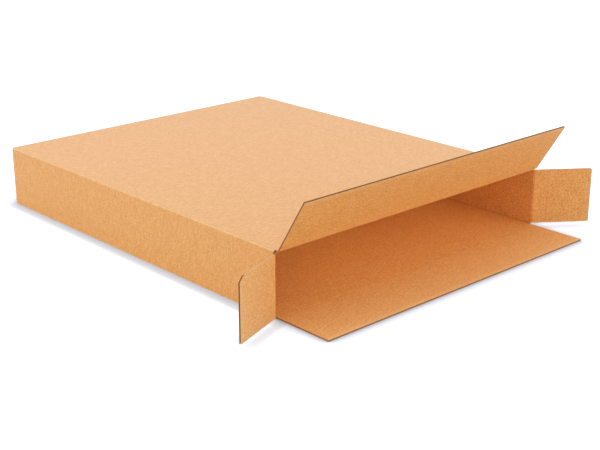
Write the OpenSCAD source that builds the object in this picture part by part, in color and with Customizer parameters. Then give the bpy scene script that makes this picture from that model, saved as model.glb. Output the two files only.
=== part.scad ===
// Side-loading shipping box of single-wall corrugated board, set up and lying on its largest face.
// The rear end is folded and glued shut, and the four flaps of the front end stand open.
// The blank is one sheet: four panels, a glue lap, and flaps that overlap fully at both ends.
// The origin is the middle of the underside. X runs across the mouth, Y from front to rear.

/* [Box] */
// Inside width, across the mouth
inside_w = 762; // [300:1:1200]
// Inside height
inside_h = 127; // [80:1:300]
// Inside depth, between the side flaps of both ends when they are folded in
inside_d = 914; // [300:1:1500]

/* [Board] */
// Thickness of the corrugated board
board_t = 3.6; // [2.5:0.1:7]
// Outside radius of a folded corner
fold_r = 2.8; // [0.5:0.1:4]
// Radius of the bead that a crease raises on the inside of a folded corner
bead_r = 1.2; // [0.5:0.1:2]

/* [Flaps] */
// Room that a folded flap leaves in front of the far panel
flap_short = 1.6; // [1:0.1:20]
// Room that the slots leave between a flap's side edge and the panel beside it
slot_play = 1.9; // [1:0.1:5]
// How far the slots run past the side flaps when they are folded in
slot_overrun = 0.6; // [0.2:0.1:10]
// Room under the left flaps, whose lower edge is the end of the blank and has no slot
foot_play = 0.4; // [0.3:0.1:5]
// Opening angle of the top flap, from straight forward
top_open = 58; // [0:1:170]
// Opening angle of the bottom flap, from straight forward
bottom_open = 0; // [-80:1:0]
// Opening angle of the left flap, from straight forward
left_open = 70; // [0:1:170]
// Opening angle of the right flap, from straight forward
right_open = 53; // [0:1:170]
// Length of the cut on the upper corner of the left flap
left_clip_l = 13; // [3:0.5:40]
// Height of the cut on the upper corner of the left flap
left_clip_h = 9.5; // [3:0.5:40]
// Length of the cut on the upper corner of the right flap
right_clip_l = 5; // [3:0.5:40]
// Height of the cut on the upper corner of the right flap
right_clip_h = 3; // [3:0.5:40]

/* [Flutes] */
// Distance from one flute to the next
flute_pitch = 7.5; // [5:0.1:10]
// Thickness of each flat liner at a cut edge
liner_t = 0.45; // [0.3:0.05:0.6]
// Thickness of the wavy sheet between the liners at a cut edge
medium_t = 0.4; // [0.3:0.05:0.6]
// Depth of the hollow flute ends in a cut edge
flute_depth = 6; // [2:0.5:30]

/* [Glue lap] */
// Height of the lap that is glued inside the left panel
lap_h = 35; // [20:1:60]
// Distance from the folded side flaps to the foot of the lap
lap_inset = 8; // [2:1:60]
// Taper of each end of the lap, from foot to edge
lap_taper = 10; // [0:1:40]

/* [Clearances] */
// Gap between a flap and its panel when it is folded right back
fold_gap = 0.3; // [0.2:0.05:1]
// Gap that the mitred board leaves on either side of a closed crease
crease_gap = 0.15; // [0.1:0.05:0.5]
// Gap between flaps that are folded in over each other
layer_gap = 0.3; // [0.2:0.05:1]

/* [Hidden] */
$fn = 48;

outside_w = inside_w + 2 * board_t;
outside_h = inside_h + 2 * board_t;
flap_l = inside_h + board_t - flap_short;
slot_half = board_t + slot_play;
wide_flap_w = outside_w - 2 * slot_half;
side_flap_w = outside_h - 2 * slot_half;

// The left flaps reach lower than the right ones, down to the inside of the bottom panel.
left_foot = board_t + foot_play;
left_flap_w = outside_h - slot_half - left_foot;
left_rise = (left_foot - slot_half) / 2;

// Each crease axis lies this far outside the panel, so that the flap can fold right back.
axis_out = fold_gap / 2;
mitre_at = axis_out + crease_gap;

// Creases at the front: the side flaps fold in first, then the top flap, then the bottom flap.
side_front = -inside_d / 2 - board_t - axis_out;
top_front = side_front - board_t - layer_gap;
bottom_front = top_front - board_t - layer_gap;

// Folds at the rear: the same order, with the layers glued face to face.
side_rear = inside_d / 2 + board_t;
top_rear = side_rear + board_t;
bottom_rear = top_rear + board_t;

// The folded corners run between the ends of the slots.
corner_front = side_front + mitre_at + board_t + slot_overrun;
corner_rear = side_rear - board_t - slot_overrun;

kraft_outside = "#e3b27c";
kraft_inside = "#d3914f";

// Each panel is drawn in one local frame: X from front to rear, Y inwards from the outside face,
// Z along the crease. These four modules put that frame on the box.
module on_bottom() {
    rotate([90, 0, 90]) children();
}

module on_top() {
    translate([0, 0, outside_h]) mirror([0, 0, 1]) on_bottom() children();
}

module on_right() {
    translate([outside_w / 2, 0, outside_h / 2]) rotate([0, 0, 90]) children();
}

module on_left() {
    translate([0, 0, left_rise]) mirror([1, 0, 0]) on_right() children();
}

// What is cut from a square corner to round it.
module round_cut(r) {
    difference() {
        square(r);
        translate([r, r]) circle(r);
    }
}

// Section of one panel with its shut rear flap. The front end is mitred at the crease, where the
// score crushes the board, so that the front flap can fold in.
module panel_section(front, rear) {
    difference() {
        polygon([
            [front + mitre_at, 0],
            [rear, 0],
            [rear, flap_l],
            [rear - board_t, flap_l],
            [rear - board_t, board_t],
            [front + mitre_at + board_t, board_t]
        ]);
        translate([rear, 0]) mirror([1, 0]) round_cut(fold_r);
    }
}

module panel(front, rear, width) {
    linear_extrude(width, center = true) panel_section(front, rear);
}

// Section of the tube, seen from the front: folds at three corners, and at the lower left the cut
// edge of the left panel beside the fold of the glue lap.
module tube_section() {
    seam_r = min(fold_r, slot_play);
    difference() {
        union() {
            difference() {
                translate([-outside_w / 2, 0]) square([outside_w, outside_h]);
                translate([-inside_w / 2, board_t]) square([inside_w, inside_h]);
            }
            for (side = [-1, 1])
                translate([side * inside_w / 2, board_t + inside_h]) circle(bead_r);
            translate([inside_w / 2, board_t]) circle(bead_r);
        }
        for (side = [0, 1])
            mirror([side, 0]) translate([-outside_w / 2, outside_h]) mirror([0, 1]) round_cut(fold_r);
        translate([outside_w / 2, 0]) mirror([1, 0]) round_cut(fold_r);
        translate([-inside_w / 2, 0]) round_cut(seam_r);
    }
}

module glue_lap() {
    foot_front = side_front + board_t + lap_inset;
    foot_rear = side_rear - board_t - lap_inset;
    translate([-inside_w / 2, 0, 0]) rotate([90, 0, 90]) linear_extrude(board_t) polygon([
        [foot_front, board_t],
        [foot_rear, board_t],
        [foot_rear - lap_taper, board_t + lap_h],
        [foot_front + lap_taper, board_t + lap_h]
    ]);
}

module box_body() {
    color(kraft_outside) {
        translate([0, corner_rear, 0]) rotate([90, 0, 0])
            linear_extrude(corner_rear - corner_front) tube_section();
        on_top() panel(top_front, top_rear, wide_flap_w);
        on_bottom() panel(bottom_front, bottom_rear, wide_flap_w);
        on_left() panel(side_front, side_rear, left_flap_w);
        on_right() panel(side_front, side_rear, side_flap_w);
        glue_lap();
    }
}

// Hollow between one liner and the wavy sheet, at the end of a flute.
module flute_cell() {
    lower = liner_t;
    upper = board_t - liner_t - medium_t;
    foot = flute_pitch / 2 - medium_t - liner_t / 2;
    crest = flute_pitch / 2 - foot;
    polygon([[-foot, lower], [foot, lower], [crest, upper], [-crest, upper]]);
}

// Row of flute ends across a cut edge, with cells opening to either liner by turns.
module flute_row(width) {
    flutes = floor((width - flute_pitch) / flute_pitch);
    for (i = [0 : flutes - 1]) {
        at = (i - (flutes - 1) / 2) * flute_pitch;
        translate([at - flute_pitch / 4, 0]) flute_cell();
        translate([at + flute_pitch / 4, board_t]) mirror([0, 1]) flute_cell();
    }
}

// One front flap, mitred at its crease and opened by an angle. The crease axis is the local Z axis
// at the crease. The flute ends are hollow along the cut edge.
module flap(crease, width, angle, flutes_from) {
    translate([crease, -axis_out, 0]) rotate([0, 0, angle]) translate([0, axis_out, 0])
        difference() {
            linear_extrude(width, center = true) polygon([
                [-mitre_at, 0],
                [-flap_l, 0],
                [-flap_l, board_t],
                [-mitre_at - board_t, board_t]
            ]);
            translate([-flap_l, 0, 0]) rotate([0, 90, 0])
                linear_extrude(flutes_from + flute_depth) flute_row(width);
            children();
        }
}

// What is cut from the upper outer corner of a side flap.
module corner_clip(width, length, height) {
    translate([-flap_l, -board_t, width / 2]) rotate([-90, 0, 0])
        linear_extrude(3 * board_t) polygon([
            [-length, -height],
            [length, -height],
            [length, 0],
            [0, height],
            [-length, height]
        ]);
}

module top_flap() {
    color(kraft_inside) on_top() flap(top_front, wide_flap_w, top_open, 0);
}

module bottom_flap() {
    color(kraft_inside) on_bottom() flap(bottom_front, wide_flap_w, bottom_open, 0);
}

module left_flap() {
    color(kraft_inside) on_left() flap(side_front, left_flap_w, left_open, left_clip_l)
        corner_clip(left_flap_w, left_clip_l, left_clip_h);
}

module right_flap() {
    color(kraft_inside) on_right() flap(side_front, side_flap_w, right_open, right_clip_l)
        corner_clip(side_flap_w, right_clip_l, right_clip_h);
}

box_body();
top_flap();
bottom_flap();
left_flap();
right_flap();
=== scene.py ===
import math
from collections import namedtuple

import bmesh
import bpy
import numpy as np
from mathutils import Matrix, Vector


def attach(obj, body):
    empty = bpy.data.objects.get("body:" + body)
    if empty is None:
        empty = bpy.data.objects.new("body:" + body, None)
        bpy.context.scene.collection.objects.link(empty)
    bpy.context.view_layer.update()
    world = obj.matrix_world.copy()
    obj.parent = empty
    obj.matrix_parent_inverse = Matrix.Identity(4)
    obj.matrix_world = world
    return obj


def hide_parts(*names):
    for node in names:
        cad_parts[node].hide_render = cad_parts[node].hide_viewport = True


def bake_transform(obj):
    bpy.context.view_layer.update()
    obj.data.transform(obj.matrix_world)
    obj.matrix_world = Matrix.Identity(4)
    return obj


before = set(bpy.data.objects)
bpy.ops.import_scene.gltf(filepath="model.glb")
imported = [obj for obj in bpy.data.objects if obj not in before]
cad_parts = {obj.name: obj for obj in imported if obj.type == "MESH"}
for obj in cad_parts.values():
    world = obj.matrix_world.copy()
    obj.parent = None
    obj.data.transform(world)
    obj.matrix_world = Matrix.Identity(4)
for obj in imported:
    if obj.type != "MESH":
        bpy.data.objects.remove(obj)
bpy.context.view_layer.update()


# The sheet: single-wall corrugated board, two flat kraft liners glued to a wavy fluted medium.
# It is die-cut from one piece, so a cut shows two thin lips of liner with the medium between them,
# and where a cut crosses the flutes it shows their open ends.
mm = 0.001
board_t = 3.6 * mm
liner_t = 0.45 * mm
medium_t = 0.4 * mm
flute_pitch = 7.5 * mm
flute_hole = 6 * mm
slot_groove = 1.6 * mm
# How far the medium stops short of a cut edge, and of the two ends of that edge.
medium_back, medium_margin = 0.05 * mm, 1.5 * mm
# A cut whose core lies back less than this is crushed shut, and shows liner only.
shut_cut = 0.5 * mm
# Points drawn along one flute, and the turn of the surface from which an edge is drawn sharp.
flute_steps, sharp_turn = 12, math.radians(32)


def linear(colour):
    """An sRGB hex colour as linear RGBA."""
    parts = [int(colour[k:k + 2], 16) / 255 for k in (1, 3, 5)]
    return [c / 12.92 if c <= 0.04045 else ((c + 0.055) / 1.055) ** 2.4 for c in parts] + [1.0]


def add(tree, kind, inputs=None, **settings):
    """Adds a node with its settings. An input given as a socket is linked, and any other is set."""
    made = tree.nodes.new(kind)
    for name, value in settings.items():
        setattr(made, name, value)
    for name, value in (inputs or {}).items():
        if isinstance(value, bpy.types.NodeSocket):
            tree.links.new(value, made.inputs[name])
        else:
            made.inputs[name].default_value = value
    return made


# Unbleached kraft liner, made on a paper machine and left as it comes: a warm brown sheet with a
# slight sheen at low angles, cloudy where the pulp settled, with fibres lying across the flutes.
# The flutes print through as a faint washboard.
def kraft_liner(name, pale, deep, wear_highlight_colour, speckle, streak, roughness, gloss):
    made = bpy.data.materials.new(name)
    made.use_nodes = True
    tree = made.node_tree
    tree.nodes.clear()
    blank = add(tree, "ShaderNodeUVMap", uv_map="blank").outputs["UV"]
    # Clouds where the pulp settled.
    cloud_size = 30 * mm
    cloud = add(tree, "ShaderNodeTexNoise", {"Vector": blank, "Scale": 1 / cloud_size, "Detail": 3.0})
    # Fibres are 3 mm by 0.05 mm, too fine to show, so bundles are drawn, with finer ones in them.
    bundle_l, bundle_w = 14 * mm, 6 * mm
    lying = add(tree, "ShaderNodeMapping", {"Vector": blank, "Scale": (1 / bundle_l, 1 / bundle_w, 1.0)})
    fibre = add(tree, "ShaderNodeTexNoise", {
        "Vector": lying.outputs["Vector"], "Scale": 1.0, "Detail": 3.0, "Roughness": 0.65})
    # Specks of darker and paler pulp, drawn just over the size that the picture can show.
    speck_size = 3.8 * mm
    grain = add(tree, "ShaderNodeTexNoise", {
        "Vector": blank, "Scale": 1 / speck_size, "Detail": 1.0, "Roughness": 1.0})
    # Flutes under the liner, one wave for each pitch across the blank.
    across = add(tree, "ShaderNodeSeparateXYZ", {"Vector": blank}).outputs["X"]
    turn = add(tree, "ShaderNodeMath", {0: across, 1: 2 * math.pi / flute_pitch}, operation="MULTIPLY")
    wave = add(tree, "ShaderNodeMath", {0: turn.outputs[0]}, operation="SINE").outputs[0]
    # The patterns swing about the middle tone, each by its own share.
    clouding, washboard = 0.5, 0.04
    tone = 0.5 - 0.5 * (speckle + streak + clouding)
    for pattern, share in (
        (grain.outputs["Fac"], speckle),
        (fibre.outputs["Fac"], streak),
        (cloud.outputs["Fac"], clouding),
        (wave, washboard),
    ):
        summed = add(tree, "ShaderNodeMath", {0: pattern, 1: share, 2: tone}, operation="MULTIPLY_ADD")
        tone = summed.outputs[0]
    sheet = add(tree, "ShaderNodeMix", {0: tone, 6: linear(deep), 7: linear(pale)}, data_type="RGBA")
    # Along folds, creases and tips, and over some flaps, the sheet is painted paler: partly wear where
    # the liner is stretched and rubbed, partly painted highlight along folds and edges, and painted
    # sheen on flaps seen at a low angle.
    wear_and_highlight = add(tree, "ShaderNodeAttribute", attribute_name="wear_and_highlight").outputs["Fac"]
    rub = add(tree, "ShaderNodeMath", {0: wear_and_highlight, 1: grain.outputs["Fac"]}, operation="MULTIPLY")
    colour = add(tree, "ShaderNodeMix", {
        0: rub.outputs[0], 6: sheet.outputs[2], 7: linear(wear_highlight_colour)}, data_type="RGBA")
    # Specks are duller or shinier than the sheet, and flutes and fibres stand out from it.
    speck_gloss, flute_rise, relief_h = 0.06, 0.6, 0.1 * mm
    dull = add(tree, "ShaderNodeMapRange", {
        "Value": grain.outputs["Fac"],
        "To Min": roughness - speck_gloss, "To Max": roughness + speck_gloss})
    rise = add(tree, "ShaderNodeMath", {
        0: wave, 1: flute_rise, 2: fibre.outputs["Fac"]}, operation="MULTIPLY_ADD")
    relief = add(tree, "ShaderNodeBump", {
        "Height": rise.outputs[0], "Strength": 0.4, "Distance": relief_h})
    shader = add(tree, "ShaderNodeBsdfPrincipled", {
        "Base Color": colour.outputs[2],
        "Roughness": dull.outputs[0],
        "Normal": relief.outputs["Normal"],
        "IOR": 1.5,
        "Specular IOR Level": gloss,
    })
    add(tree, "ShaderNodeOutputMaterial", {"Surface": shader.outputs["BSDF"]})
    return made


# Cut kraft, where a blade has parted the liner or the medium: raw, matt, furry with fibre ends,
# and browner than the sheet's face.
def cut_kraft(name, pale, deep):
    made = bpy.data.materials.new(name)
    made.use_nodes = True
    tree = made.node_tree
    tree.nodes.clear()
    place = add(tree, "ShaderNodeTexCoord").outputs["Object"]
    # Fibre ends, drawn larger than they are.
    end_size, fur_h = 0.6 * mm, 0.1 * mm
    noise = add(tree, "ShaderNodeTexNoise", {"Vector": place, "Scale": 1 / end_size, "Detail": 2.0})
    ends = noise.outputs["Fac"]
    colour = add(tree, "ShaderNodeMix", {0: ends, 6: linear(deep), 7: linear(pale)}, data_type="RGBA")
    fur = add(tree, "ShaderNodeBump", {"Height": ends, "Strength": 0.4, "Distance": fur_h})
    shader = add(tree, "ShaderNodeBsdfPrincipled", {
        "Base Color": colour.outputs[2],
        "Roughness": 0.9,
        "Specular IOR Level": 0.3,
        "Normal": fur.outputs["Normal"],
    })
    add(tree, "ShaderNodeOutputMaterial", {"Surface": shader.outputs["BSDF"]})
    return made


outside_liner = kraft_liner("kraft_liner_outside", "#f9b967", "#de9646", "#fad6a2", 2.2, 1.8, 0.33, 0.8)
inside_liner = kraft_liner("kraft_liner_inside", "#fdbf71", "#de9045", "#fad09a", 2.7, 1.1, 0.5, 0.35)
liner_edge = cut_kraft("cut_liner_edge", "#ecc08c", "#d9a468")
fluting = cut_kraft("fluting_medium", "#cb9862", "#a87645")
finishes = (outside_liner, inside_liner, liner_edge, fluting)
on_outside, on_inside, on_edge, on_fluting = range(len(finishes))


def board(name, outer, inner, blank, kept, depth, wear_and_highlight, medium=()):
    """A closed shell of board. outer and inner are grids of points on the two liners, and blank is
    the grid of their places on the flat blank. kept tells which cells of the grid are board, depth
    gives how far the core lies back from a cut side of a cell, wear_and_highlight gives how much
    paler the sheet is painted at a place on the grid, partly for wear and partly as painted highlight,
    and medium lists the cut edges that show flute ends, each as (place, first, last, tip, depth)."""
    shell = bmesh.new()
    on_blank = shell.loops.layers.uv.new("blank")
    wear_highlight_layer = shell.verts.layers.float.new("wear_and_highlight")
    spot = {}
    cells = [(int(i), int(j)) for i, j in np.argwhere(kept)]
    inside = set(cells)

    # Sides of cells with no board beyond them, and how far the core lies back at their ends.
    sides = []
    lying_back = {}
    for i, j in cells:
        for di, dj in ((-1, 0), (1, 0), (0, -1), (0, 1)):
            if (i + di, j + dj) in inside:
                continue
            start = (i + (di > 0), j + (dj > 0))
            stop = (i + 1, start[1]) if dj else (start[0], j + 1)
            sides.append((start, stop, depth(i, j, di, dj)))
            for at in (start, stop):
                lying_back.setdefault(at, {})[di, dj] = sides[-1][2]

    # At each place: a point on each liner, and at a cut the lips of the liners and the core too.
    stacks = {}
    for at in {(i + a, j + b) for i, j in cells for a in (0, 1) for b in (0, 1)}:
        first, last = Vector(outer[at]), Vector(inner[at])
        through = (last - first).normalized() * liner_t
        back = Vector()
        for (di, dj), far in lying_back.get(at, {}).items():
            back += (Vector(outer[at[0] - di][at[1] - dj]) - first).normalized() * far
        points = [first, last]
        if back.length:
            lip, far_lip = first + through, last - through
            points = [first, lip, lip + back, far_lip + back, far_lip, last]
        stacks[at] = [shell.verts.new(p) for p in points]
        for vert in stacks[at]:
            spot[vert] = Vector(blank[at])
            vert[wear_highlight_layer] = wear_and_highlight(*at)

    def face(verts, finish):
        made = shell.faces.new(verts)
        made.material_index = finish
        made.smooth = True
        for loop in made.loops:
            loop[on_blank].uv = spot[loop.vert]

    for i, j in cells:
        corners = [stacks[at] for at in ((i, j), (i + 1, j), (i + 1, j + 1), (i, j + 1))]
        face([c[0] for c in corners], on_outside)
        face([c[-1] for c in reversed(corners)], on_inside)
    for start, stop, far in sides:
        a, b = stacks[start], stacks[stop]
        if not far:
            face(a + b[::-1], on_inside)
            continue
        core = on_fluting if far > shut_cut else on_edge
        for k, finish in enumerate((on_edge, core, core, core, on_edge)):
            face([a[k], b[k], b[k + 1], a[k + 1]], finish)

    # The medium: a thin sheet waving from liner to liner, seen end on.
    swing = board_t / 2 - liner_t - medium_t / 2
    for place, low, high, tip, hole in medium:
        steps = round((high - low) / flute_pitch * flute_steps)
        strip = []
        for k in range(steps + 1):
            across = low + (high - low) * k / steps
            phase = 2 * math.pi * across / flute_pitch
            slope = -swing * 2 * math.pi / flute_pitch * math.sin(phase)
            lean = Vector((-slope, 1)).normalized() * medium_t / 2
            ring = []
            for side, far in ((-1, medium_back), (1, medium_back), (1, hole), (-1, hole)):
                aside = across + side * lean.x
                through = board_t / 2 + swing * math.cos(phase) + side * lean.y
                vert = shell.verts.new(place(tip(across) - far, through, aside))
                spot[vert] = Vector((aside, tip(across) - far))
                ring.append(vert)
            strip.append(ring)
        for a, b in zip(strip, strip[1:]):
            for k in range(4):
                face([a[k], b[k], b[(k + 1) % 4], a[(k + 1) % 4]], on_fluting)
        face(strip[0], on_fluting)
        face(strip[-1], on_fluting)

    bmesh.ops.recalc_face_normals(shell, faces=shell.faces)
    mesh = bpy.data.meshes.new(name)
    shell.to_mesh(mesh)
    shell.free()
    mesh.set_sharp_from_angle(angle=sharp_turn)
    for finish in finishes:
        mesh.materials.append(finish)
    made = bpy.data.objects.new(name, mesh)
    bpy.context.collection.objects.link(made)
    return made


# The body: four panels folded round into a flat tube, with the lap of the bottom panel glued inside
# the left one. At the rear the side flaps, the top flap and the bottom flap are folded in over each
# other and glued. The creases round the corners, and raise a bead on either side of a crevice inside.
wide = 769.2 * mm
high = 134.2 * mm
slot_half = 5.5 * mm
flap_l = 129.0 * mm
fold_r = 2.8 * mm
bead_r = 1.2 * mm
axis_out = 0.15 * mm
mitre_at = 0.3 * mm
side_front, top_front, bottom_front = -460.75 * mm, -464.65 * mm, -468.55 * mm
side_rear, top_rear, bottom_rear = 460.6 * mm, 464.2 * mm, 467.8 * mm
corner_front, corner_rear = -456.25 * mm, 456.4 * mm
fold_front = -459.4 * mm
left_foot = 4.0 * mm
lap_front, lap_rear, lap_taper = -449.15 * mm, 449.0 * mm, 10 * mm
lap_low, lap_mid, lap_top = 5.0 * mm, 20 * mm, 38.6 * mm
lap_fold_r, lap_bead_r, seam_gap = 1.8 * mm, 0.2 * mm, 0.05 * mm
# At the rear folds: the radius inside, the flat that follows the fold, and room between glued flaps.
inner_bend, fold_margin, glue_gap = 0.4 * mm, 1.5 * mm, 0.1 * mm
# How much paler the long folds and the rear folds are painted: partly wear, partly painted highlight
# along the fold.
fold_wear_highlight = 1.1

# A panel's frame: foot lies on its outer liner, inwards goes through the board, and along runs
# across the flutes. blank_at and blank_step give its place on the blank.
Panel = namedtuple("Panel", "foot inwards along blank_at blank_step front rear low high")
panels = {
    "left": Panel(Vector((-wide / 2, 0, high / 2)), Vector((1, 0, 0)), Vector((0, 0, 1)), high / 2, 1,
                  side_front, side_rear, left_foot - high / 2, high / 2 - slot_half),
    "top": Panel(Vector((0, 0, high)), Vector((0, 0, -1)), Vector((1, 0, 0)), high + wide / 2, 1,
                 top_front, top_rear, slot_half - wide / 2, wide / 2 - slot_half),
    "right": Panel(Vector((wide / 2, 0, high / 2)), Vector((-1, 0, 0)), Vector((0, 0, 1)),
                   1.5 * high + wide, -1,
                   side_front, side_rear, slot_half - high / 2, high / 2 - slot_half),
    "bottom": Panel(Vector((0, 0, 0)), Vector((0, 0, 1)), Vector((1, 0, 0)), 2 * high + 1.5 * wide, -1,
                    bottom_front, bottom_rear, slot_half - wide / 2, wide / 2 - slot_half),
}


def on_panel(panel, run, deep, across):
    """A point of a panel: run along the box, deep inwards from the outer liner, across the flutes."""
    return panel.foot + Vector((0, run, 0)) + panel.inwards * deep + panel.along * across


# Columns of the sheet, round the tube from the cut edge of the left panel to the edge of the lap.
# Each is (panel, across, outer foot, inner foot, place across the blank), with what lies after it.
columns = []
after = []


def panel_columns(panel, places, kinds):
    for across, kind in zip(places, kinds):
        columns.append((panel, across, on_panel(panel, 0, 0, across), on_panel(panel, 0, board_t, across),
                        panel.blank_at + panel.blank_step * across))
        after.append(kind)


def fold_columns(corner, coming, going, radius, bead, blank_at):
    """A rounded corner of the tube, between the panel coming to it and the panel going from it."""
    centre = corner + (going - coming) * radius
    inner_corner = corner + (going - coming) * board_t
    # Each is how far from the corner a point of the inner liner lies, and how far it stands up from
    # the panel, both in radii of the bead. The last is the foot of the crevice.
    pushed_up = [(1.5, 0.0), (1.2, 0.3), (0.85, 0.3), (0.45, -0.3), (0.0, -1.2)]
    foot = len(pushed_up) - 1
    for k in range(2 * foot + 1):
        turn = math.radians(90 * k / (2 * foot))
        aside, rise = pushed_up[min(k, 2 * foot - k)]
        if k < foot:
            inner_line = going * rise - coming * aside
        elif k > foot:
            inner_line = going * aside - coming * rise
        else:
            inner_line = (going - coming) * rise
        columns.append((None, 0, centre + radius * (coming * math.sin(turn) - going * math.cos(turn)),
                        inner_corner + bead * inner_line, blank_at + radius * (turn - math.pi / 4)))
        after.append("fold")


left, top, right, bottom = panels["left"], panels["top"], panels["right"], panels["bottom"]
up, rightwards = Vector((0, 0, 1)), Vector((1, 0, 0))
# Places across a panel. The ones close to its ends keep the shading of a fold off the flat of it.
short_side = [0, 0.02, 0.25, 0.5, 0.75, 0.98, 1]
long_side = [0, 0.004] + list(np.linspace(0, 1, 13)[1:-1]) + [0.996, 1]
short_kinds = ["panel"] * (len(short_side) - 1) + ["fold"]
long_kinds = ["panel"] * (len(long_side) - 1) + ["fold"]
panel_columns(left, [-high / 2] + [left.low + (left.high - left.low) * f for f in short_side],
              ["fold"] + short_kinds)
fold_columns(Vector((-wide / 2, 0, high)), up, rightwards, fold_r, bead_r, high)
panel_columns(top, [top.low + (top.high - top.low) * f for f in long_side], long_kinds)
fold_columns(Vector((wide / 2, 0, high)), rightwards, -up, fold_r, bead_r, high + wide)
panel_columns(right, [right.high - (right.high - right.low) * f for f in short_side], short_kinds)
fold_columns(Vector((wide / 2, 0, 0)), -up, -rightwards, fold_r, bead_r, 2 * high + wide)
panel_columns(bottom, [bottom.high - (bottom.high - bottom.low) * f for f in long_side], long_kinds)
lap_foot = Vector((-wide / 2 + board_t + seam_gap, 0, 0))
lap_column = len(columns)
fold_columns(lap_foot, -rightwards, up, lap_fold_r, lap_bead_r, 2 * high + 2 * wide)
for tall, kind in ((lap_low, "lap"), (lap_mid, "lap"), (lap_top, None)):
    columns.append((None, tall, lap_foot + up * tall, lap_foot + up * tall + rightwards * board_t,
                    2 * high + 2 * wide + tall))
    after.append(kind)

# Rows of the sheet, from the front crease to the tip of the rear flap.
middle = list(np.linspace(-440, 440, 9) * mm)
flat_rows = [corner_front, lap_front + lap_taper / 2] + middle + [lap_rear - lap_taper / 2, corner_rear]
bend_steps = 6
bend = [math.radians(90 * k / bend_steps) for k in range(bend_steps + 1)]
down_flap = [fold_r + fold_margin, 0.3 * flap_l, 0.65 * flap_l, flap_l]
row_count = 1 + len(flat_rows) + len(bend) + len(down_flap)
outer = np.zeros((len(columns), row_count, 3))
inner = np.zeros((len(columns), row_count, 3))
blank = np.zeros((len(columns), row_count, 2))
for i, (panel, across, out_foot, in_foot, blank_x) in enumerate(columns):
    runs = [corner_front] + flat_rows + [corner_rear] * (row_count - 1 - len(flat_rows))
    if after[i] == "lap" or after[i - 1] == "lap":
        taper = lap_taper * (across - lap_low) / (lap_top - lap_low)
        runs[2] = lap_front + taper
        runs[len(flat_rows) - 1] = lap_rear - taper
    # A slot ends in a slant, so that the fold between two slots reaches nearly to the creases.
    if panel is None and i < lap_column:
        runs[1] = fold_front
    for j, run in enumerate(runs):
        outer[i, j] = out_foot + Vector((0, run, 0))
        inner[i, j] = in_foot + Vector((0, run, 0))
        blank[i, j] = blank_x, run
    if panel is None:
        continue
    outer[i, 0] = on_panel(panel, panel.front + mitre_at, 0, across)
    inner[i, 0] = on_panel(panel, panel.front + mitre_at + board_t, board_t, across)
    blank[i, 0] = blank_x, panel.front
    j = 1 + len(flat_rows)
    for turn in bend:
        outer[i, j] = on_panel(panel, panel.rear - fold_r * (1 - math.sin(turn)),
                               fold_r * (1 - math.cos(turn)), across)
        inner[i, j] = on_panel(panel, panel.rear - board_t - inner_bend * math.cos(turn),
                               board_t + inner_bend * math.sin(turn), across)
        blank[i, j] = blank_x, panel.rear + fold_r * (turn - math.pi / 4)
        j += 1
    for deep in down_flap:
        outer[i, j] = on_panel(panel, panel.rear, deep, across)
        inner[i, j] = on_panel(panel, panel.rear - board_t + glue_gap, deep, across)
        blank[i, j] = blank_x, panel.rear + deep
        j += 1
kept = np.zeros((len(columns) - 1, row_count - 1), bool)
rows_of = {"panel": (0, row_count), "fold": (1, len(flat_rows)), "lap": (2, len(flat_rows) - 1)}
for i, kind in enumerate(after[:-1]):
    first, last = rows_of[kind]
    kept[i, first:last] = True


def body_cut(i, j, di, dj):
    """The front creases stay whole, the tips of the rear flaps and the ends of the slots cross the
    flutes, and the sides of the slots run along them."""
    if dj and after[i] == "panel":
        return 0 if dj < 0 else flute_hole
    return flute_hole if dj and after[i] == "fold" else slot_groove


def body_wear_highlight(i, j):
    """The long folds and the rear folds are painted paler, from the middle of the fold outwards: partly
    wear, partly painted highlight.
    """
    rear_fold = 2 + len(flat_rows) < j < len(flat_rows) + len(bend) - 1
    long_fold = all(columns[(i + k) % len(columns)][0] is None for k in (-3, 3))
    return fold_wear_highlight if rear_fold or long_fold else 0.0


rear_tips = [
    (lambda u, v, w, p=p: on_panel(p, p.rear - v, u, w), p.low + medium_margin, p.high - medium_margin,
     lambda w: flap_l, flute_hole)
    for p in panels.values()]
body = board("board_body", outer, inner, blank, kept, body_cut, body_wear_highlight, rear_tips)
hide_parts("box_body")
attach(body, "box")


# The front flaps: each is the same sheet beyond a crease, standing open as it was left. The left
# one has its upper corner clipped and crushed, and the right one has it worn round.
# groove and hole are how far the core lies back along a flap's sides and at its tip, score_t is what
# the score leaves of the board, and the last three tell how much paler the sheet, its tip and its
# crease are painted: partly wear, partly painted sheen on flaps seen at a low angle and painted
# highlight along tips and creases.
Flap = namedtuple("Flap", "panel opening clip_l clip_h round groove hole rub tip_rub crease_rub score_t")
flaps = {
    "top_flap": Flap(top, 58, 0.6 * mm, 0.6 * mm, True, 1.6 * mm, flute_hole, 0.0, 0.6, 0.3, 1.2 * mm),
    "bottom_flap": Flap(bottom, 0, 0.6 * mm, 0.6 * mm, True, 1.2 * mm, 1.0 * mm, 0.5, 1.2, 0.0, 3.1 * mm),
    "left_flap": Flap(left, 70, 13 * mm, 9.5 * mm, False, 0.3 * mm, flute_hole, 0.7, 1.0, 1.8, 1.2 * mm),
    "right_flap": Flap(right, 53, 5 * mm, 3 * mm, True, 1.2 * mm, flute_hole, 0.0, 0.3, 0.0, 3.5 * mm),
}


def swung(turn, x, y):
    """A point x behind a crease axis and y inwards of it, moved to its place on the opened flap."""
    return -x * math.cos(turn) - y * math.sin(turn), -x * math.sin(turn) + y * math.cos(turn)


def on_flap(flap, u, v, w):
    """A point of a flap: u from its crease towards its tip, v inwards from the outer liner, w across."""
    run, deep = swung(math.radians(flap.opening), u, v + axis_out)
    return on_panel(flap.panel, flap.panel.front + run, deep - axis_out, w)


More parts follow.
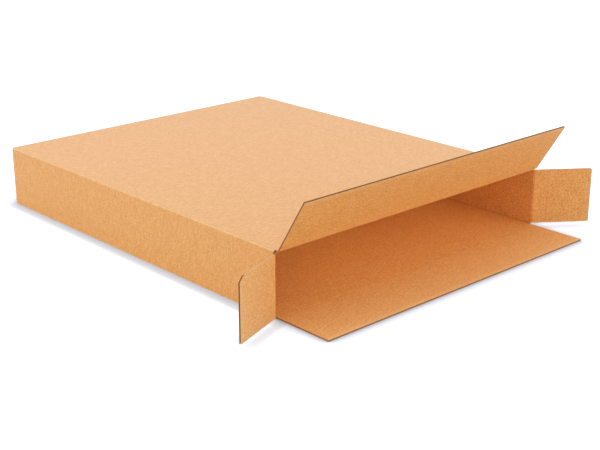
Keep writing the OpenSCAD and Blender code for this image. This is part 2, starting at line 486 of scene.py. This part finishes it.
def tip_of(flap):
    """How far the flap reaches at each place across it."""
    def reach(w):
        part = max(0.0, (w - (flap.panel.high - flap.clip_h)) / flap.clip_h)
        part = min(1.0, part)
        share = 1 - math.sqrt(1 - part * part) if flap.round else part ** 1.25
        return flap_l - flap.clip_l * share
    return reach


# Places from a flap's crease to its tip, and where the tip begins that is painted paler, partly for
# wear where it is handled and partly as painted highlight.
tip_from = 0.89
shares = [0, 0.25, 0.5, 0.75, tip_from, 0.96, 1]
for name, flap in flaps.items():
    panel = flap.panel
    reach = tip_of(flap)
    straight = np.linspace(panel.low, panel.high - flap.clip_h, 9)
    clipped = [panel.high - flap.clip_h * (1 - f) for f in (0.2, 0.4, 0.6, 0.75, 0.87, 0.95, 1.0)]
    places = list(straight) + clipped
    outer = np.zeros((len(places), len(shares), 3))
    inner = np.zeros((len(places), len(shares), 3))
    blank = np.zeros((len(places), len(shares), 2))
    for i, w in enumerate(places):
        for j, share in enumerate(shares):
            out_u = mitre_at + (reach(w) - mitre_at) * share
            in_u = mitre_at + board_t + (reach(w) - mitre_at - board_t) * share
            outer[i, j] = on_flap(flap, out_u, 0, w)
            inner[i, j] = on_flap(flap, in_u, board_t, w)
            blank[i, j] = panel.blank_at + panel.blank_step * w, panel.front - out_u
    kept = np.ones((len(places) - 1, len(shares) - 1), bool)
    ends = (lambda u, v, w, flap=flap: on_flap(flap, u, v, w),
            panel.low + medium_margin, panel.high - medium_margin, reach, flap.hole)

    # The crease stays whole, the tip crosses the flutes, and the side edges run along them, so that
    # each shows as much of an open flute as the slot happened to cut.
    def flap_cut(i, j, di, dj):
        return flap.groove if di else flap.hole if dj > 0 else 0

    # The flap is painted paler more and more towards its tip: partly wear where it is handled most,
    # partly painted sheen and painted highlight.
    def flap_wear_highlight(i, j):
        at_tip = max(0.0, shares[j] - tip_from) / (1 - tip_from)
        return flap.rub * (0.4 + 0.6 * shares[j]) + (flap.tip_rub - flap.rub) * at_tip

    made = board("board_" + name, outer, inner, blank, kept, flap_cut, flap_wear_highlight, [ends])
    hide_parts(name)
    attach(made, name)


# The front creases: the score crushes the board to a soft valley, where it bends as a flap is moved.
# Each strip joins a panel's mitred end to its flap's, as the flap stands open. The right one was
# creased lightly, and the bottom one still lies flat, so their valleys are shallow.
# nick is how much deeper the creasing rule pressed the foot of the valley. The points of the bend
# there lie a little apart, so that they don't fall together on a flat crease.
nick, bend_apart = 0.5 * mm, 0.07 * mm
# Where the side of the valley starts to fall and where it ends, as shares of the mitred length.
valley_top, valley_foot = 0.55, 0.06


def crease_cut(i, j, di, dj):
    return slot_groove if di else 0


for name, flap in flaps.items():
    panel = flap.panel
    turn = math.radians(flap.opening)
    deep = board_t + axis_out
    score = axis_out + flap.score_t
    # Points down one side of the valley, the bend at its foot, and points up the other side.
    slope = []
    for share in (1.0, 0.75, 0.5, 0.35, 0.2, valley_foot):
        fall = min(1.0, max(0.0, (valley_top - share) / (valley_top - valley_foot)))
        slope.append((share * (mitre_at + board_t), deep - (deep - score) * fall * fall * (3 - 2 * fall)))
    inner_line = list(slope)
    for k in range(bend_steps + 1):
        a = turn * k / bend_steps
        from_mid = bend_steps // 2 - k
        stands = score - nick * max(0, 2 - abs(from_mid))
        inner_line.append((-stands * math.sin(a) + from_mid * bend_apart, stands * math.cos(a)))
    inner_line += [swung(turn, x, y) for x, y in reversed(slope)]
    hollow = axis_out / math.cos(turn / 2)
    ends = [(mitre_at, axis_out), (-hollow * math.sin(turn / 2), hollow * math.cos(turn / 2)),
            swung(turn, mitre_at, axis_out)]
    outer_line = []
    for k in range(len(inner_line)):
        f = 2 * k / (len(inner_line) - 1)
        a, b = (ends[0], ends[1]) if f <= 1 else (ends[1], ends[2])
        f = f if f <= 1 else f - 1
        outer_line.append((a[0] + (b[0] - a[0]) * f, a[1] + (b[1] - a[1]) * f))
    places = np.linspace(panel.low, panel.high, 9)
    outer = np.zeros((len(places), len(inner_line), 3))
    inner = np.zeros((len(places), len(inner_line), 3))
    blank = np.zeros((len(places), len(inner_line), 2))
    for i, w in enumerate(places):
        for j in range(len(inner_line)):
            outer[i, j] = on_panel(panel, panel.front + outer_line[j][0], outer_line[j][1] - axis_out, w)
            inner[i, j] = on_panel(panel, panel.front + inner_line[j][0], inner_line[j][1] - axis_out, w)
            blank[i, j] = (panel.blank_at + panel.blank_step * w,
                           panel.front + board_t * (1 - 2 * j / (len(inner_line) - 1)))
    kept = np.ones((len(places) - 1, len(inner_line) - 1), bool)

    # On the flap's side of the bend, where the score stretches the liner, the colour is painted paler:
    # partly wear, partly a painted highlight line along the crease.
    stretched = range(len(slope) + 4, len(slope) + 9)

    def crease_wear_highlight_at(i, j):
        return flap.crease_rub if j in stretched else 0.0

    strip = board("crease_" + name, outer, inner, blank, kept, crease_cut, crease_wear_highlight_at)
    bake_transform(strip)


# The studio: a white floor that keeps the box's shadow, a white room, and soft boxes over the box.
# The floor lies a hair under the box, clear of the crease of the bottom flap.
floor_half, floor_gap = 12, 0.3 * mm
floor_mesh = bpy.data.meshes.new("floor")
floor_shape = bmesh.new()
bmesh.ops.create_grid(floor_shape, x_segments=4, y_segments=4, size=floor_half)
floor_shape.to_mesh(floor_mesh)
floor_shape.free()
floor = bpy.data.objects.new("floor", floor_mesh)
floor.location.z = -floor_gap
bpy.context.collection.objects.link(floor)
paper = bpy.data.materials.new("white_paper_floor")
paper.use_nodes = True
tree = paper.node_tree
tree.nodes.clear()
matt = add(tree, "ShaderNodeBsdfDiffuse", {"Color": linear("#e8e8e8")})
# Where the board meets the floor, a narrow shadow about 20 mm wide: each node looks to one side and
# a little down, so board that lies on the floor shades it, and board that stands clear hardly does.
look_aside, look_down, shadow_reach = 0.8, -0.6, 30 * mm
# How much of a node's view is clear at a place that is shut in and at one that is open, and what the
# first leaves of the light from that side.
shut_in, in_the_open, darkest = 0.82, 0.985, 0.66
contact = 1.0
for x, y in ((1, 0), (-1, 0), (0, 1), (0, -1)):
    look = add(tree, "ShaderNodeCombineXYZ", {"X": look_aside * x, "Y": look_aside * y, "Z": look_down})
    clear = add(tree, "ShaderNodeAmbientOcclusion", {
        "Distance": shadow_reach, "Normal": look.outputs[0]}, samples=12)
    open_to = add(tree, "ShaderNodeMapRange", {
        "Value": clear.outputs["AO"], "From Min": shut_in, "From Max": in_the_open,
        "To Min": darkest, "To Max": 1.0})
    shaded = add(tree, "ShaderNodeMath", {0: open_to.outputs[0], 1: contact}, operation="MULTIPLY")
    contact = shaded.outputs[0]
shade = add(tree, "ShaderNodeMix", {
    0: contact, 6: linear("#000000"), 7: linear("#d8e4f6")}, data_type="RGBA")
lit = add(tree, "ShaderNodeBsdfDiffuse", {"Color": shade.outputs[2]})
# To the camera the paper also glows a little, so that it shows pure white away from the box.
paper_glow = 0.62
glow = add(tree, "ShaderNodeMath", {0: contact, 1: paper_glow}, operation="MULTIPLY")
white = add(tree, "ShaderNodeEmission", {"Color": linear("#f9fbff"), "Strength": glow.outputs[0]})
bright = add(tree, "ShaderNodeAddShader", {0: lit.outputs[0], 1: white.outputs[0]})
seen = add(tree, "ShaderNodeLightPath").outputs
mixed = add(tree, "ShaderNodeMixShader", {
    0: seen["Is Camera Ray"], 1: matt.outputs[0], 2: bright.outputs[0]})
add(tree, "ShaderNodeOutputMaterial", {"Surface": mixed.outputs[0]})
floor_mesh.materials.append(paper)

# The room lights the box softly, and is plain white where it is seen or mirrored.
room_light = 0.86
room = bpy.data.worlds.new("white_room")
room.use_nodes = True
tree = room.node_tree
tree.nodes.clear()
seen = add(tree, "ShaderNodeLightPath").outputs
near = add(tree, "ShaderNodeMath", {
    0: seen["Is Camera Ray"], 1: seen["Is Glossy Ray"]}, operation="MAXIMUM")
shown = add(tree, "ShaderNodeMath", {
    0: near.outputs[0], 1: seen["Is Transmission Ray"]}, operation="MAXIMUM")
soft = add(tree, "ShaderNodeBackground", {"Color": linear("#ffffff"), "Strength": room_light})
white = add(tree, "ShaderNodeBackground", {"Color": linear("#ffffff"), "Strength": 1.0})
mixed = add(tree, "ShaderNodeMixShader", {0: shown.outputs[0], 1: soft.outputs[0], 2: white.outputs[0]})
add(tree, "ShaderNodeOutputWorld", {"Surface": mixed.outputs[0]})
bpy.context.scene.world = room

# A broad box overhead, one on each side, a strip box with a grid that shines into the open end, and
# a dim panel under the top of the box, warm like the light that the board there sends back. None of
# them is seen mirrored. Sizes are in metres, spreads in degrees and powers in watts.
Lamp = namedtuple("Lamp", "name at aim wide tall spread power colour")
for lamp in (
    Lamp("overhead_box", Vector((-0.5, 0.4, 3.0)), Vector((0, 0, 0.1)), 3.0, 3.0, 180, 6, "#ffffff"),
    Lamp("left_box", Vector((-2.6, 0.8, 1.6)), Vector((0, 0, 0.1)), 1.6, 1.6, 180, 11, "#ffffff"),
    Lamp("right_box", Vector((1.9, -2.2, 0.9)), Vector((0, -0.4, 0.1)), 1.4, 1.2, 180, 8, "#ffffff"),
    Lamp("mouth_strip", Vector((0, -1.57, 0.42)), Vector((0, -0.46, 0.06)), 0.72, 0.08, 8, 0.07,
         "#ffffff"),
    Lamp("inner_panel", Vector((0.06, -0.03, 0.126)), Vector((0.06, -0.03, 0)), 0.64, 0.82, 180, 0.24,
         "#fff0c4"),
):
    light = bpy.data.lights.new(lamp.name, "AREA")
    light.shape = "RECTANGLE"
    light.size = lamp.wide
    light.size_y = lamp.tall
    light.spread = math.radians(lamp.spread)
    light.energy = lamp.power
    light.color = linear(lamp.colour)[:3]
    holder = bpy.data.objects.new(lamp.name, light)
    holder.visible_camera = False
    holder.visible_glossy = False
    holder.location = lamp.at
    holder.rotation_mode = "QUATERNION"
    holder.rotation_quaternion = (lamp.aim - lamp.at).to_track_quat("-Z", "Y")
    bpy.context.collection.objects.link(holder)

# The camera: a long lens that looks down a little on the box, from in front of its left corner.
lens = bpy.data.cameras.new("camera")
lens.sensor_width = 36
lens.lens = 71.72
viewpoint = bpy.data.objects.new("camera", lens)
azimuth, elevation, distance = math.radians(-42.70), math.radians(19.54), 2.5006
look_at = Vector((-113.4, -235.7, 60)) * mm
level = math.cos(elevation)
back = Vector((math.sin(azimuth) * level, -math.cos(azimuth) * level, math.sin(elevation)))
viewpoint.location = look_at + back * distance
viewpoint.rotation_mode = "QUATERNION"
viewpoint.rotation_quaternion = (-back).to_track_quat("-Z", "Y")
bpy.context.collection.objects.link(viewpoint)
bpy.context.scene.camera = viewpoint
bpy.context.scene.view_settings.view_transform = "Standard"
